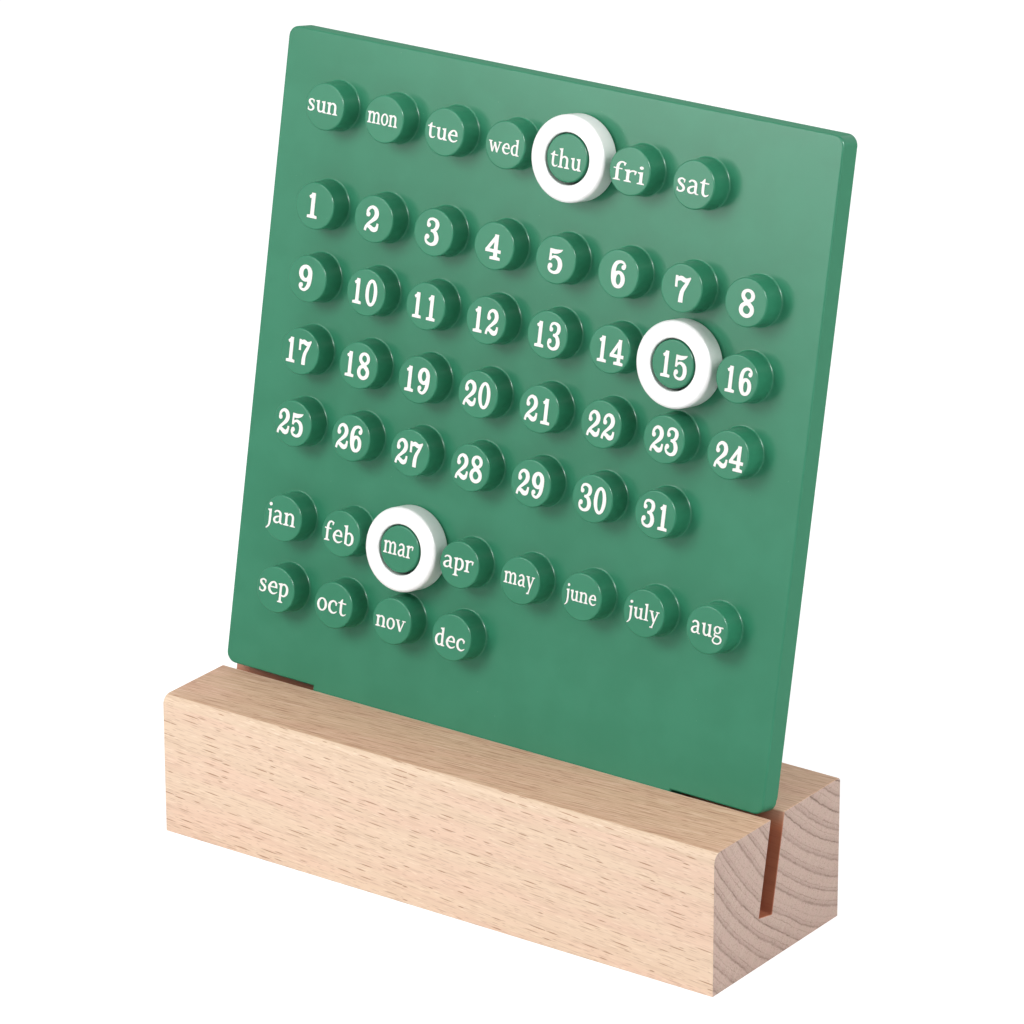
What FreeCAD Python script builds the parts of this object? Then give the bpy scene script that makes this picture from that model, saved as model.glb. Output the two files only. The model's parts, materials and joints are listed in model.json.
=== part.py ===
import FreeCAD, Part
import math
import os

# Perpetual desk calendar: a moulded panel with a peg for every weekday, date and month leans in
# the slot of a beech block, and three white rings hang on the pegs of the day that is shown.
# X runs to the right, Y to the back, Z up. The origin is the middle of the block's underside.
# Millimetres and degrees.

# Beech block
block_length = 150.0
block_depth = 50.0
block_height = 33.6
front_round = 2.3           # the hand side of the top is rounded more
back_round = 1.0

# Slot, sawn right through the block from end to end and leaning back
lean = 10.9
slot_width = 5.25
slot_depth = 22.2           # along the lean
slot_setback = 22.1         # from the block's front to the slot's mouth
slot_play = 0.12            # on each face of the tongue
seat_gap = 0.1              # under the tongue

# Pegs, in three groups below each other
peg_radius = 5.5
peg_height = 5.65
column_pitch = 16.42
row_pitch = 16.6
weekday_gap = 22.4          # from the weekdays to the first row of dates
month_gap = 22.0            # from the last row of dates to the first row of months
columns = 8
weekdays = 7
dates = 31
months = 12

# Panel, whose width and height follow from its pegs
side_margin = 16.07         # from the outer columns to the panel's sides
top_margin = 15.7
bottom_margin = 21.0
panel_thickness = 5.7       # a little more than the slot takes
panel_corner = 2.5
panel_edge = 0.3
panel_shift = -0.87         # it stands a little to the left of the block's middle
shoulder_gap = 0.1          # between the step in the panel's back and the block's top

# Lip below that step, as thin as the tongue, whose lower edge falls a little to the right
lip_left = 0.1
lip_right = 1.1

# Tongue, which is thinner than the panel at the back only
tongue_width = 98.1
tongue_offset = 0.65        # to the right of the panel's middle
tongue_corner = 3.0
tongue_edge = 0.3

# Rings, as large as the next pegs allow
ring_clearance = 1.32       # between a ring and the next pegs
ring_thickness = 5.55
ring_play = 0.25            # between the bore and the peg, all round
ring_hang = 0.1             # what is left of it above the peg, because the ring hangs
ring_gap = 0.15             # between the ring and the panel
ring_outer_round = 0.8
ring_inner_round = 0.35
shown_weekday = 5           # counted from one
shown_date = 15
shown_month = 3

overrun = 1.0               # by which cuts pass through a face and joined solids reach into each other

# The panel's size, and levels on it from the block's top at the slot's mouth
date_rows = math.ceil(dates / columns)
month_rows = math.ceil(months / columns)
panel_width = 2 * side_margin + (columns - 1) * column_pitch
row_heights = weekday_gap + month_gap + (date_rows - 1 + month_rows - 1) * row_pitch
panel_height = top_margin + row_heights + bottom_margin
rise = math.tan(math.radians(lean))
panel_back = slot_play + panel_thickness
shoulder = (panel_back - panel_edge) * rise + shoulder_gap
panel_top = shoulder + panel_height
weekday_row = panel_top - top_margin
date_row = weekday_row - weekday_gap
month_row = date_row - (date_rows - 1) * row_pitch - month_gap
first_column = panel_shift - (columns - 1) * column_pitch / 2
ring_radius = min(column_pitch, row_pitch) - peg_radius - ring_clearance


def leaning(shape):
    """Sets a shape from the slot's own frame, whose Y is the depth behind the slot's front face, into the block."""
    placed = shape.copy()
    turn = FreeCAD.Rotation(FreeCAD.Vector(1, 0, 0), -lean)
    mouth = FreeCAD.Vector(0, slot_setback - block_depth / 2, block_height)
    placed.transformShape(FreeCAD.Placement(mouth, turn).toMatrix())
    return placed


def quarter(centre_1, centre_2, radius, start):
    """Three points of a quarter circle, from the start angle on, as pairs."""
    angles = [math.radians(start + turn) for turn in (0, 45, 90)]
    return [(centre_1 + radius * math.cos(a), centre_2 + radius * math.sin(a)) for a in angles]


def outline(stretches, to_vector):
    """A closed wire of straight edges between the ends of its stretches, and arcs through those with three points."""
    points = [[to_vector(*pair) for pair in stretch] for stretch in stretches]
    edges = []
    for here, following in zip(points, points[1:] + points[:1]):
        if len(here) == 3:
            edges.append(Part.Arc(*here).toShape())
        if not here[-1].isEqual(following[0], Part.Precision.confusion()):
            edges.append(Part.LineSegment(here[-1], following[0]).toShape())
    return Part.Wire(edges)


def rounded_slab(middle, width, low, high, front, back, corner, edge, fall=0):
    """An upright slab with round corners and its edges broken all round. Its lower edge may fall to the right."""
    half = width / 2
    corners = [
        quarter(middle + half - corner, high - corner, corner, 0),
        quarter(middle - half + corner, high - corner, corner, 90),
        quarter(middle - half + corner, low + corner, corner, 180),
        quarter(middle + half - corner, low - fall + corner, corner, 270),
    ]
    face = Part.Face(outline(corners, lambda x, z: FreeCAD.Vector(x, front, z)))
    slab = face.extrude(FreeCAD.Vector(0, back - front, 0))
    rims = [e for e in slab.Edges if e.BoundBox.YLength < edge]
    return slab.makeChamfer(edge, rims)


def base_block():
    half = block_depth / 2
    section = outline(
        [
            [(-half, 0)],
            [(half, 0)],
            quarter(half - back_round, block_height - back_round, back_round, 0),
            quarter(front_round - half, block_height - front_round, front_round, 90),
        ],
        lambda y, z: FreeCAD.Vector(-block_length / 2, y, z),
    )
    block = Part.Face(section).extrude(FreeCAD.Vector(block_length, 0, 0))
    cutter = Part.makeBox(
        block_length + 2 * overrun,
        slot_width,
        slot_depth + slot_width * rise + overrun,
        FreeCAD.Vector(-block_length / 2 - overrun, 0, -slot_depth),
    )
    return block.cut(leaning(cutter))


def peg_places(count, top_row):
    """The middles of a group of pegs, as pairs along the panel's width and height, in reading order."""
    return [
        (first_column + (n % columns) * column_pitch, top_row - (n // columns) * row_pitch)
        for n in range(count)
    ]


def peg(x, z):
    """A peg on the panel's front face, with its root inside the panel."""
    root = min(overrun, panel_thickness / 2)
    outwards = FreeCAD.Vector(0, -1, 0)
    return Part.makeCylinder(peg_radius, root + peg_height, FreeCAD.Vector(x, slot_play + root, z), outwards)


def calendar_panel():
    """One moulding: plate, lip, the tongue that the slot holds, and a peg for every weekday, date and month."""
    plate = rounded_slab(
        panel_shift, panel_width, shoulder, panel_top, slot_play, panel_back, panel_corner, panel_edge
    )
    lip = rounded_slab(
        panel_shift,
        panel_width,
        shoulder - lip_left,
        shoulder + 2 * panel_corner + overrun,
        slot_play,
        slot_width - slot_play,
        panel_corner,
        panel_edge,
        lip_right - lip_left,
    )
    tongue = rounded_slab(
        panel_shift + tongue_offset,
        tongue_width,
        seat_gap - slot_depth,
        shoulder + tongue_corner + overrun,
        slot_play,
        slot_width - slot_play,
        tongue_corner,
        tongue_edge,
    )
    places = peg_places(weekdays, weekday_row) + peg_places(dates, date_row) + peg_places(months, month_row)
    return leaning(plate.multiFuse([lip, tongue] + [peg(x, z) for x, z in places]).removeSplitter())


def ring(x, z):
    """A ring that hangs on the peg at this place, its outer edges rounded off in two steps and its bore's in one."""
    bore = peg_radius + ring_play
    wall = ring_radius - bore
    outer = min(ring_outer_round, wall / 2)
    inner = min(ring_inner_round, wall / 4)
    low = ring_gap
    high = ring_gap + ring_thickness
    rounds = [
        quarter(ring_radius - outer, high - outer, outer, 0),
        quarter(bore + inner, high - inner, inner, 90)[::2],
        quarter(bore + inner, low + inner, inner, 180)[::2],
        quarter(ring_radius - outer, low + outer, outer, 270),
    ]
    middle = z + ring_hang - ring_play
    section = outline(
        [[corner] for points in rounds for corner in points],
        lambda r, out: FreeCAD.Vector(x + r, slot_play - out, middle),
    )
    turned = Part.Face(section).revolve(FreeCAD.Vector(x, 0, middle), FreeCAD.Vector(0, 1, 0), 360)
    return leaning(turned)


pieces = {
    "base_block": base_block(),
    "calendar_panel": calendar_panel(),
    "weekday_ring": ring(*peg_places(weekdays, weekday_row)[shown_weekday - 1]),
    "date_ring": ring(*peg_places(dates, date_row)[shown_date - 1]),
    "month_ring": ring(*peg_places(months, month_row)[shown_month - 1]),
}

os.makedirs("parts", exist_ok=True)
for name, shape in pieces.items():
    shape.exportStep("parts/" + name + ".step")
    box = shape.BoundBox
    print(name, "solids", len(shape.Solids), "valid", shape.isValid(), "volume", round(shape.Volume, 1),
          "x", round(box.XMin, 2), round(box.XMax, 2), "y", round(box.YMin, 2), round(box.YMax, 2),
          "z", round(box.ZMin, 2), round(box.ZMax, 2))
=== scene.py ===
import json
import bmesh
import bpy
import numpy as np
from mathutils import Matrix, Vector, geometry


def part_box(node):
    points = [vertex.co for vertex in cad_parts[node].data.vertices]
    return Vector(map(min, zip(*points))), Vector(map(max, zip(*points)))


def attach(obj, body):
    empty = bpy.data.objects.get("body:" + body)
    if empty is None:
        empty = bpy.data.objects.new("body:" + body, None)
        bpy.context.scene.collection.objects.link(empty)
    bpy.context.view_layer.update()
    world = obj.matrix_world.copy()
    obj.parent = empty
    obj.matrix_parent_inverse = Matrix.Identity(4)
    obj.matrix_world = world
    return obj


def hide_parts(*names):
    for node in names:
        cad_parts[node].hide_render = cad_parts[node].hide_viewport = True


# Perpetual desk calendar: a green panel of pegs leans in a beech block, and white rings mark the day.
# All sizes are in millimetres and become metres when a mesh is made. X is right, Y back, Z up.
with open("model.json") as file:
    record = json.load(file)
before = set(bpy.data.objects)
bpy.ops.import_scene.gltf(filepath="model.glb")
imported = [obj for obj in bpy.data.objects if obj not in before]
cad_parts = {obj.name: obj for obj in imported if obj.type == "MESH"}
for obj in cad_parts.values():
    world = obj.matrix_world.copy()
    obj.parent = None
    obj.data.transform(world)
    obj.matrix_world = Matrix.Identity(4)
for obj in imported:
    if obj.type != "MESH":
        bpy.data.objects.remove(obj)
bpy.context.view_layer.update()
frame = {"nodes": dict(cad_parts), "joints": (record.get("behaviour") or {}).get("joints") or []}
mm = 0.001
weldWithin = 0.001  # points of a mesh that are nearer than this become one
drawnWithin = 1e-5  # the same for outlines that are laid over each other
print("frame loaded:", sorted(frame["nodes"]))

# The panel leans. On it a point is (x, height up the panel, depth out of its front).
joints = {joint["name"]: joint for joint in frame["joints"]}
leanAxes = np.array([(1, 0, 0), joints["panel_lift"]["axis"], joints["weekday_ring_pull"]["axis"]], float)
leanAxes /= np.linalg.norm(leanAxes, axis=1, keepdims=True)


def cadPoints(node):
    points = np.empty(len(frame["nodes"][node].data.vertices) * 3)
    frame["nodes"][node].data.vertices.foreach_get("co", points)
    return points.reshape(-1, 3) / mm


def leaning(points):
    # The sum of the three axes, each as long as its own number says.
    return points @ leanAxes


# Meshes
class Shell:  # surfaces that are welded into one mesh
    def __init__(self):
        self.points, self.faces, self.count = [], [], 0

    def add(self, points, faces):
        points = np.asarray(points, float).reshape(-1, 3)
        self.points.append(points)
        self.faces += [[self.count + corner for corner in face] for face in np.asarray(faces).tolist()]
        self.count += len(points)

    def piece(self, name, finish, body, nodes=(), sharpAngle=50):
        mesh = bpy.data.meshes.new(name)
        mesh.from_pydata(np.concatenate(self.points) * mm, [], self.faces)
        weld = bmesh.new()
        weld.from_mesh(mesh)
        bmesh.ops.remove_doubles(weld, verts=weld.verts, dist=weldWithin * mm)
        bmesh.ops.recalc_face_normals(weld, faces=weld.faces)
        weld.to_mesh(mesh)
        weld.free()
        mesh.shade_smooth()
        mesh.set_sharp_from_angle(angle=np.radians(sharpAngle))
        mesh.materials.append(finish)
        made = bpy.data.objects.new(name, mesh)
        bpy.context.scene.collection.objects.link(made)
        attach(made, body)
        if nodes:
            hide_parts(*nodes)
        print("made", name, "with", len(mesh.polygons), "faces")
        return made


def evenNormals(made):
    # Large flat faces keep their own normals up to the edge, so that they stay flat beside a round.
    modifier = made.modifiers.new("even normals", "WEIGHTED_NORMAL")
    modifier.keep_sharp = True
    modifier.weight = 100


def gridFaces(rows, columns, wrapRows=False, wrapColumns=False):
    # Each face joins a point of the grid to its neighbours below and to the right.
    i = np.arange(rows if wrapRows else rows - 1)[:, None]
    j = np.arange(columns if wrapColumns else columns - 1)[None, :]
    below, right = (i + 1) % rows, (j + 1) % columns
    corners = [i * columns + j, i * columns + right, below * columns + right, below * columns + j]
    return np.stack(np.broadcast_arrays(*corners), -1).reshape(-1, 4)


def arc(radius, start, end, steps):
    # Radius times the cosine and the sine of angles from start to end, in degrees.
    angles = np.radians(np.linspace(start, end, steps + 1))
    return radius * np.stack([np.cos(angles), np.sin(angles)], -1)


def roundedPath(corners, radii, steps):
    # Round the corners anticlockwise: straight runs, and an arc about corner + radius x inward at each
    # corner. Inward is the way in at every point, so long that both sides move in by one.
    corners = np.array(corners, float)
    points, inward = [], []
    neighbours = np.roll(corners, 1, 0), corners, np.roll(corners, -1, 0)
    for before, corner, after, radius in zip(*neighbours, radii):
        run, nextRun = corner - before, after - corner
        inHere = np.array([-run[1], run[0]]) / np.linalg.norm(run)
        inNext = np.array([-nextRun[1], nextRun[0]]) / np.linalg.norm(nextRun)
        mitre = (inHere + inNext) / (1 + inHere @ inNext)
        if radius:
            start = np.degrees(np.arctan2(-inHere[1], -inHere[0]))
            turn = np.degrees(np.arccos(np.clip(inHere @ inNext, -1, 1)))
            spokes = arc(1, start, start + turn, steps)
            points.append(corner + radius * (mitre + spokes))
            inward.append(-spokes)
        else:
            points.append(corner[None])
            inward.append(mitre[None])
    return np.concatenate(points), np.concatenate(inward)


def carried(path, inward, profile):
    # The profile's pairs (way in, depth) carried along the path: row by row path + way in x inward.
    flat = path[None] + profile[:, None, :1] * inward[None]
    depths = np.broadcast_to(profile[:, None, 1:], flat.shape[:2] + (1,))
    return np.concatenate([flat, depths], -1)


def signedArea(polygon):
    # Half the sum of each corner crossed with the next, which is positive anticlockwise.
    x, y = polygon.T
    return (x * np.roll(y, -1) - y * np.roll(x, -1)).sum() / 2


def filled(polygons, wanted):
    # Triangles of the polygons laid over each other, kept where wanted says so of those that cover them.
    polygons = [polygon[::-1] if signedArea(polygon) < 0 else polygon for polygon in polygons]
    points = np.concatenate(polygons)
    ends = np.cumsum([len(polygon) for polygon in polygons])
    faces = [list(range(end - len(polygon), end)) for polygon, end in zip(polygons, ends)]
    laid = geometry.delaunay_2d_cdt(points.tolist(), [], faces, 0, drawnWithin)
    flat, triangles, origins = laid[0], laid[2], laid[5]
    kept = [triangle for triangle, covers in zip(triangles, origins) if wanted(covers)]
    return np.array([tuple(point) for point in flat]), kept


# Panel with its pegs, one moulding
panel = dict(
    plateHeight=147.5, plateCorner=2.5, edgeRound=0.5, roundSteps=5,
    lipLeft=0.1, lipRight=1.1, tongueEase=0.6, tongueCorner=3.0,
    pegRadius=5.5, pegHeight=5.65, pegRim=0.35, pegFoot=0.4, pegTaper=0.17, pegSides=64,
    columns=8, weekdays=7, dates=31, months=12,
    sideMargin=16.07, topMargin=15.7, columnPitch=16.42, rowPitch=16.6, weekdayGap=22.4, monthGap=22.0,
)
panelPoints = cadPoints("calendar_panel") @ leanAxes.T
panelLeft, tongueFoot, panelBack = panelPoints.min(0)
panelRight, panelTop, pegTop = panelPoints.max(0)
panelFront = pegTop - panel["pegHeight"]
panelMiddle, panelHalf = float(panelLeft + panelRight) / 2, float(panelRight - panelLeft) / 2
shoulder = panelTop - panel["plateHeight"]
tonguePoints = panelPoints[panelPoints[:, 1] < shoulder - panel["tongueCorner"]]
tongueLeft, tongueRight = tonguePoints[:, 0].min(), tonguePoints[:, 0].max()
tongueBack = tonguePoints[:, 2].min()


def pegPlaces(count, topRow):
    number = np.arange(count)
    across = panelLeft + panel["sideMargin"] + number % panel["columns"] * panel["columnPitch"]
    return np.stack([across, topRow - number // panel["columns"] * panel["rowPitch"]], -1)


dateRows = -(-panel["dates"] // panel["columns"])
weekdayRow = panelTop - panel["topMargin"]
dateRow = weekdayRow - panel["weekdayGap"]
monthRow = dateRow - (dateRows - 1) * panel["rowPitch"] - panel["monthGap"]
weekdayPegs = pegPlaces(panel["weekdays"], weekdayRow)
datePegs = pegPlaces(panel["dates"], dateRow)
monthPegs = pegPlaces(panel["months"], monthRow)


def addPegs(shell, places):
    # Each peg is a profile of radius and depth turned about its middle, with a flat cap.
    radius, height, rim, foot = (panel[key] for key in ("pegRadius", "pegHeight", "pegRim", "pegFoot"))
    footCurve = (radius + foot, foot) + arc(foot, 270, 180, panel["roundSteps"])
    rimCurve = (radius - panel["pegTaper"] - rim, height - rim) + arc(rim, 0, 90, panel["roundSteps"])
    profile = np.concatenate([footCurve, rimCurve])
    turns = arc(1, 0, 360, panel["pegSides"])[:-1]
    flat = places[:, None, None] + profile[None, :, None, :1] * turns
    depths = np.broadcast_to(panelFront + profile[None, :, None, 1:], flat.shape[:3] + (1,))
    points = leaning(np.concatenate([flat, depths], -1))
    rows, sides = len(profile), panel["pegSides"]
    first = np.arange(len(places))[:, None, None] * rows * sides
    shell.add(points, (first + gridFaces(rows, sides, wrapColumns=True)).reshape(-1, 4))
    shell.add(points[:, -1], np.arange(len(places) * sides).reshape(-1, sides))
    return list(flat[:, 0])


def makePanel(finish):
    # Three paths meet on the panel's sides, at the height where its lower corners begin: one over the
    # top, one under the thick plate, and one round the lip and the tongue, which are thinner at the back.
    shell = Shell()
    edge, corner, steps = panel["edgeRound"], panel["plateCorner"], 2 * panel["roundSteps"]
    feet = addPegs(shell, np.concatenate([weekdayPegs, datePegs, monthPegs]))
    lipLeft, lipRight = shoulder - panel["lipLeft"], shoulder - panel["lipRight"]
    joins = np.interp([tongueLeft, tongueRight], [panelLeft, panelRight], [lipLeft, lipRight])
    tops = [(panelRight, panelTop), (panelLeft, panelTop)]
    lower = [
        (panelLeft, lipLeft), (tongueLeft, joins[0]), (tongueLeft, joins[0] - panel["tongueEase"]),
        (tongueLeft, tongueFoot), (tongueRight, tongueFoot),
        (tongueRight, joins[1] - panel["tongueEase"]), (tongueRight, joins[1]), (panelRight, lipRight),
    ]
    lowerRadii = [corner, 0, 0, panel["tongueCorner"], panel["tongueCorner"], 0, 0, corner]
    outer, outerIn = roundedPath(
        [(panelRight, shoulder + corner)] + tops + [(panelLeft, shoulder + corner)] + lower,
        [0, corner, corner, 0] + lowerRadii, steps)
    plate, plateIn = roundedPath(
        [(panelRight, shoulder)] + tops + [(panelLeft, shoulder)], [corner] * 4, steps)
    side = 2 * steps + 3
    upper, upperIn = outer[:side + 1], outerIn[:side + 1]
    tongue = np.concatenate([outer[side:], outer[:1]])
    tongueIn = np.concatenate([outerIn[side:], outerIn[:1]])

    # The front and its rounded edge, the walls, and the back of the plate
    frontEdge = (edge, panelFront - edge) + arc(edge, 90, 180, panel["roundSteps"])
    rows = carried(outer, outerIn, frontEdge)
    shell.add(leaning(rows), gridFaces(len(rows), len(outer), wrapColumns=True))
    flat, triangles = filled([outer + edge * outerIn] + feet, lambda covers: list(covers) == [0])
    shell.add(leaning(np.column_stack([flat, np.full(len(flat), panelFront)])), triangles)
    upperWall = np.array([(0, panelFront - edge), (0, tongueBack)])
    shell.add(leaning(carried(upper, upperIn, upperWall)), gridFaces(2, len(upper)))
    rows = carried(plate, plateIn, np.concatenate([
        upperWall[1:], (edge, panelBack + edge) + arc(edge, 180, 270, panel["roundSteps"])]))
    shell.add(leaning(rows), gridFaces(len(rows), len(plate), wrapColumns=True))
    shell.add(leaning(rows[-1]), [list(range(len(plate)))])

    # The lip's and the tongue's back, which lies a step further in. Only the tongue's edges are rounded.
    rounded = (tongue[:, 1] < joins.min() - panel["tongueEase"] / 2)[:, None]
    backEdge = (edge, tongueBack + edge) + arc(edge, 180, 270, panel["roundSteps"])
    rows = carried(tongue, tongueIn * rounded, np.concatenate([upperWall[:1], backEdge]))
    shell.add(leaning(rows), gridFaces(len(rows), len(tongue)))
    under = np.column_stack([np.concatenate([plate[steps - 1::-1], plate[:side + steps:-1]]),
                             np.full(2 * steps, tongueBack)])
    shell.add(leaning(np.concatenate([rows[-1], under])), [list(range(len(tongue) + len(under)))])
    made = shell.piece("panel_with_pegs", finish, "panel", ["calendar_panel"])
    evenNormals(made)
    return made


# Legends: numbers and words printed on the pegs' caps, drawn from strokes of changing width
legend = dict(
    thickness=0.12, root=0.05, runSteps=5, loopSides=36, ballSides=16,
    numberLeft=-0.45, numberRight=0.4, numberLow=-2.8, numberLowest=-3.1, pairSqueeze=0.87, pairPitch=3.8,
    wordLeft=-0.4, wordRight=0.1, wordWidth=8.1, letterHeight=2.75, letterGap=0.16, letterWeight=0.91,
    stemWidth=0.5, serifReach=0.37, serifDepth=0.18, bracketDepth=0.4, flagSerif=1.7, flagBracket=1.5,
)


def stroke(*points):
    # A Catmull-Rom curve through (x, y, width), as quadrilaterals between the two sides of each step.
    points = np.array(points, float)
    ends = np.concatenate([2 * points[:1] - points[1:2], points, 2 * points[-1:] - points[-2:-1]])
    a, b, c, d = ends[:-3], ends[1:-2], ends[2:-1], ends[3:]
    t = np.linspace(0, 1, legend["runSteps"], endpoint=False)[:, None, None]
    middle = (2 * b + (c - a) * t + (2 * a - 5 * b + 4 * c - d) * t ** 2
              + (3 * b - a - 3 * c + d) * t ** 3) / 2
    middle = np.concatenate([middle.transpose(1, 0, 2).reshape(-1, 3), points[-1:]])
    along = np.gradient(middle[:, :2], axis=0)
    along /= np.linalg.norm(along, axis=1, keepdims=True)
    side = np.column_stack([-along[:, 1], along[:, 0]]) * middle[:, 2:] / 2
    left, right = middle[:, :2] + side, middle[:, :2] - side
    return list(np.stack([right[:-1], right[1:], left[1:], left[:-1]], 1))


def shape(*corners):
    return [np.array(corners, float)]


def bar(left, low, right, high):
    return shape((left, low), (right, low), (right, high), (left, high))


def line(x, y, endX, endY, width):
    return stroke((x, y, width), (endX, endY, width))


def ball(x, y, radius):
    return [(x, y) + arc(radius, 0, 360, legend["ballSides"])[:-1]]


def loop(x, y, acrossRadius, sideWidth, upRadius, endWidth):
    # The space between two ellipses, whose radii are half a width more and less than those given.
    spokes = arc(1, 0, 360, legend["loopSides"])
    radii, half = np.array([acrossRadius, upRadius]), np.array([sideWidth, endWidth]) / 2
    outer, inner = (x, y) + spokes * (radii + half), (x, y) + spokes * (radii - half)
    return list(np.stack([inner[:-1], outer[:-1], outer[1:], inner[1:]], 1))


digits = {
    "1": stroke((0.05, 0.1, 1.0), (0.05, 5.7, 1.0)) + stroke((0.2, 5.4, 0.75), (-0.95, 4.65, 0.62))
         + shape((-1.3, 0), (1.35, 0), (1.35, 0.58), (0.5, 0.75), (-0.45, 0.75), (-1.3, 0.58)),
    "2": ball(-1.12, 3.78, 0.55)
         + stroke((-1.38, 3.9, 0.5), (-1.3, 4.45, 0.62), (-0.95, 5.09, 0.64), (-0.14, 5.52, 0.7),
                  (0.79, 5.12, 0.98), (1.16, 4.2, 1.12), (0.89, 3.3, 1.05), (0.04, 2.45, 0.76),
                  (-0.95, 1.6, 0.6), (-1.48, 0.85, 0.58), (-1.66, 0.05, 0.6))
         + stroke((-1.48, 0.98, 0.5), (-0.68, 1.12, 0.8), (0.39, 0.57, 1.02), (1.2, 0.71, 0.95),
                  (1.55, 1.43, 0.6), (1.61, 2.05, 0.48)),
    "3": ball(-1.11, 4.43, 0.51) + ball(-1.25, 1.82, 0.55)
         + stroke((-1.42, 4.6, 0.4), (-1.33, 5.1, 0.48), (-0.93, 5.68, 0.56), (-0.04, 5.87, 0.6),
                  (0.92, 5.45, 0.86), (1.17, 4.68, 1.02), (0.92, 3.9, 0.85), (0.23, 3.42, 0.5),
                  (-0.39, 3.29, 0.42))
         + stroke((-0.39, 3.29, 0.5), (0.68, 3.0, 0.85), (1.26, 1.82, 1.1), (0.92, 0.68, 0.95),
                  (-0.13, 0.2, 0.62), (-1.2, 0.5, 0.58), (-1.6, 1.1, 0.5), (-1.66, 1.7, 0.5)),
    "4": bar(0.2, 0.2, 1.18, 5.6) + line(0.8, 5.4, -1.75, 1.85, 0.74) + bar(-2.0, 1.55, 2.05, 2.28)
         + shape((-0.7, 0), (1.98, 0), (1.98, 0.58), (1.2, 0.74), (0.2, 0.74), (-0.7, 0.58)),
    "5": stroke((-1.42, 4.85, 1.0), (-0.2, 4.82, 0.95), (0.88, 5.07, 0.68), (1.62, 5.45, 0.16))
         + line(-1.34, 5.34, -1.42, 2.7, 0.52) + ball(-1.21, 1.59, 0.56)
         + stroke((-1.46, 2.8, 0.36), (-0.82, 3.52, 0.5), (0.07, 3.64, 0.66), (1.02, 3.02, 1.0),
                  (1.32, 1.86, 1.1), (0.94, 0.72, 0.95), (-0.02, 0.22, 0.62), (-1.05, 0.42, 0.55),
                  (-1.52, 0.95, 0.5), (-1.6, 1.5, 0.5)),
    "6": ball(1.14, 4.66, 0.53) + loop(0.11, 1.86, 1.15, 1.04, 1.55, 0.72)
         + stroke((1.52, 4.7, 0.4), (1.46, 5.15, 0.46), (1.0, 5.66, 0.52), (0.2, 5.78, 0.62),
                  (-0.76, 5.29, 0.84), (-1.25, 4.21, 1.02), (-1.3, 2.79, 1.1), (-1.1, 1.36, 1.0),
                  (-0.61, 0.5, 0.8), (0.02, 0.22, 0.62)),
    "7": stroke((-1.64, 5.66, 0.6), (-1.64, 4.5, 0.58), (-1.6, 3.16, 0.58))
         + stroke((-1.5, 4.8, 0.66), (-0.57, 5.22, 0.98), (0.5, 4.88, 0.95), (1.21, 5.13, 0.72),
                  (1.84, 5.61, 0.32))
         + stroke((1.75, 5.6, 0.4), (0.95, 4.14, 0.74), (0.14, 2.71, 0.92), (-0.13, 1.46, 1.04),
                  (-0.16, 0, 1.1)),
    "8": loop(0.04, 4.66, 1.24, 0.9, 1.14, 0.66) + loop(0, 1.63, 1.39, 0.98, 1.32, 0.8)
         + stroke((-1.1, 4.25, 0.8), (-0.3, 3.45, 1.0), (0.45, 2.95, 1.0), (1.14, 2.27, 0.9)),
    "9": ball(-1.02, 1.27, 0.53) + loop(0, 4.04, 1.27, 1.12, 1.51, 0.8)
         + stroke((0, 5.68, 0.6), (0.85, 5.1, 0.95), (1.26, 4.07, 1.06), (1.26, 2.64, 1.02),
                  (0.92, 1.25, 0.92), (0.05, 0.3, 0.66), (-0.9, 0.41, 0.52), (-1.3, 0.85, 0.46),
                  (-1.38, 1.25, 0.46)),
    "0": loop(0, 3.05, 1.3, 1.02, 2.7, 0.68),
}


def stem(x, low, high):
    half = legend["stemWidth"] / 2
    return bar(x - half, low, x + half, high)


def serifTops(low):  # how high a serif that stands at low reaches, and its bracket
    return low + legend["serifDepth"], low + legend["bracketDepth"]


def foot(x, low=0.0, left=1.0, right=1.0):  # the serif under a stem, with its shares to each side
    half, reach = legend["stemWidth"] / 2, legend["serifReach"]
    start, end = x - half - reach * left, x + half + reach * right
    serif, bracket = serifTops(low)
    return shape((start, low), (end, low), (end, serif), (x + half, bracket), (x - half, bracket),
                 (start, serif))


def flag(x, top):  # the slanted serif at the head of a stem
    half, reach = legend["stemWidth"] / 2, legend["serifReach"]
    serif, bracket = serifTops(0)
    tip, low = x - half - reach, top - legend["flagSerif"] * serif
    under = top - legend["flagBracket"] * bracket
    return shape((x + half, top), (tip, top - serif), (tip, low), (x - half, under), (x + half, under))


def pen(*points):  # a stroke of a letter, slimmer than those of the digits
    return stroke(*[(x, y, width * legend["letterWeight"]) for x, y, width in points])


def penLine(x, y, endX, endY, width):
    return pen((x, y, width), (endX, endY, width))


def arch(x, width):  # from the stem at x over to the stem that stands a width further on
    return (pen((x + 0.12, 1.95, 0.2), (x + 0.3 * width, 2.42, 0.32), (x + 0.6 * width, 2.58, 0.42),
                (x + 0.92 * width, 2.25, 0.52), (x + width, 1.7, 0.55), (x + width, 1.2, 0.55))
            + stem(x + width, 0.1, 1.7))


def bowlRight(x):  # the bowl of b and p, on the stem at x
    return pen((x + 0.1, 2.05, 0.24), (x + 0.5, 2.52, 0.34), (x + 1.0, 2.52, 0.42),
               (x + 1.46, 2.05, 0.54), (x + 1.58, 1.36, 0.58), (x + 1.42, 0.62, 0.54),
               (x + 0.98, 0.16, 0.4), (x + 0.5, 0.1, 0.34), (x, 0.32, 0.3))


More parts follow.
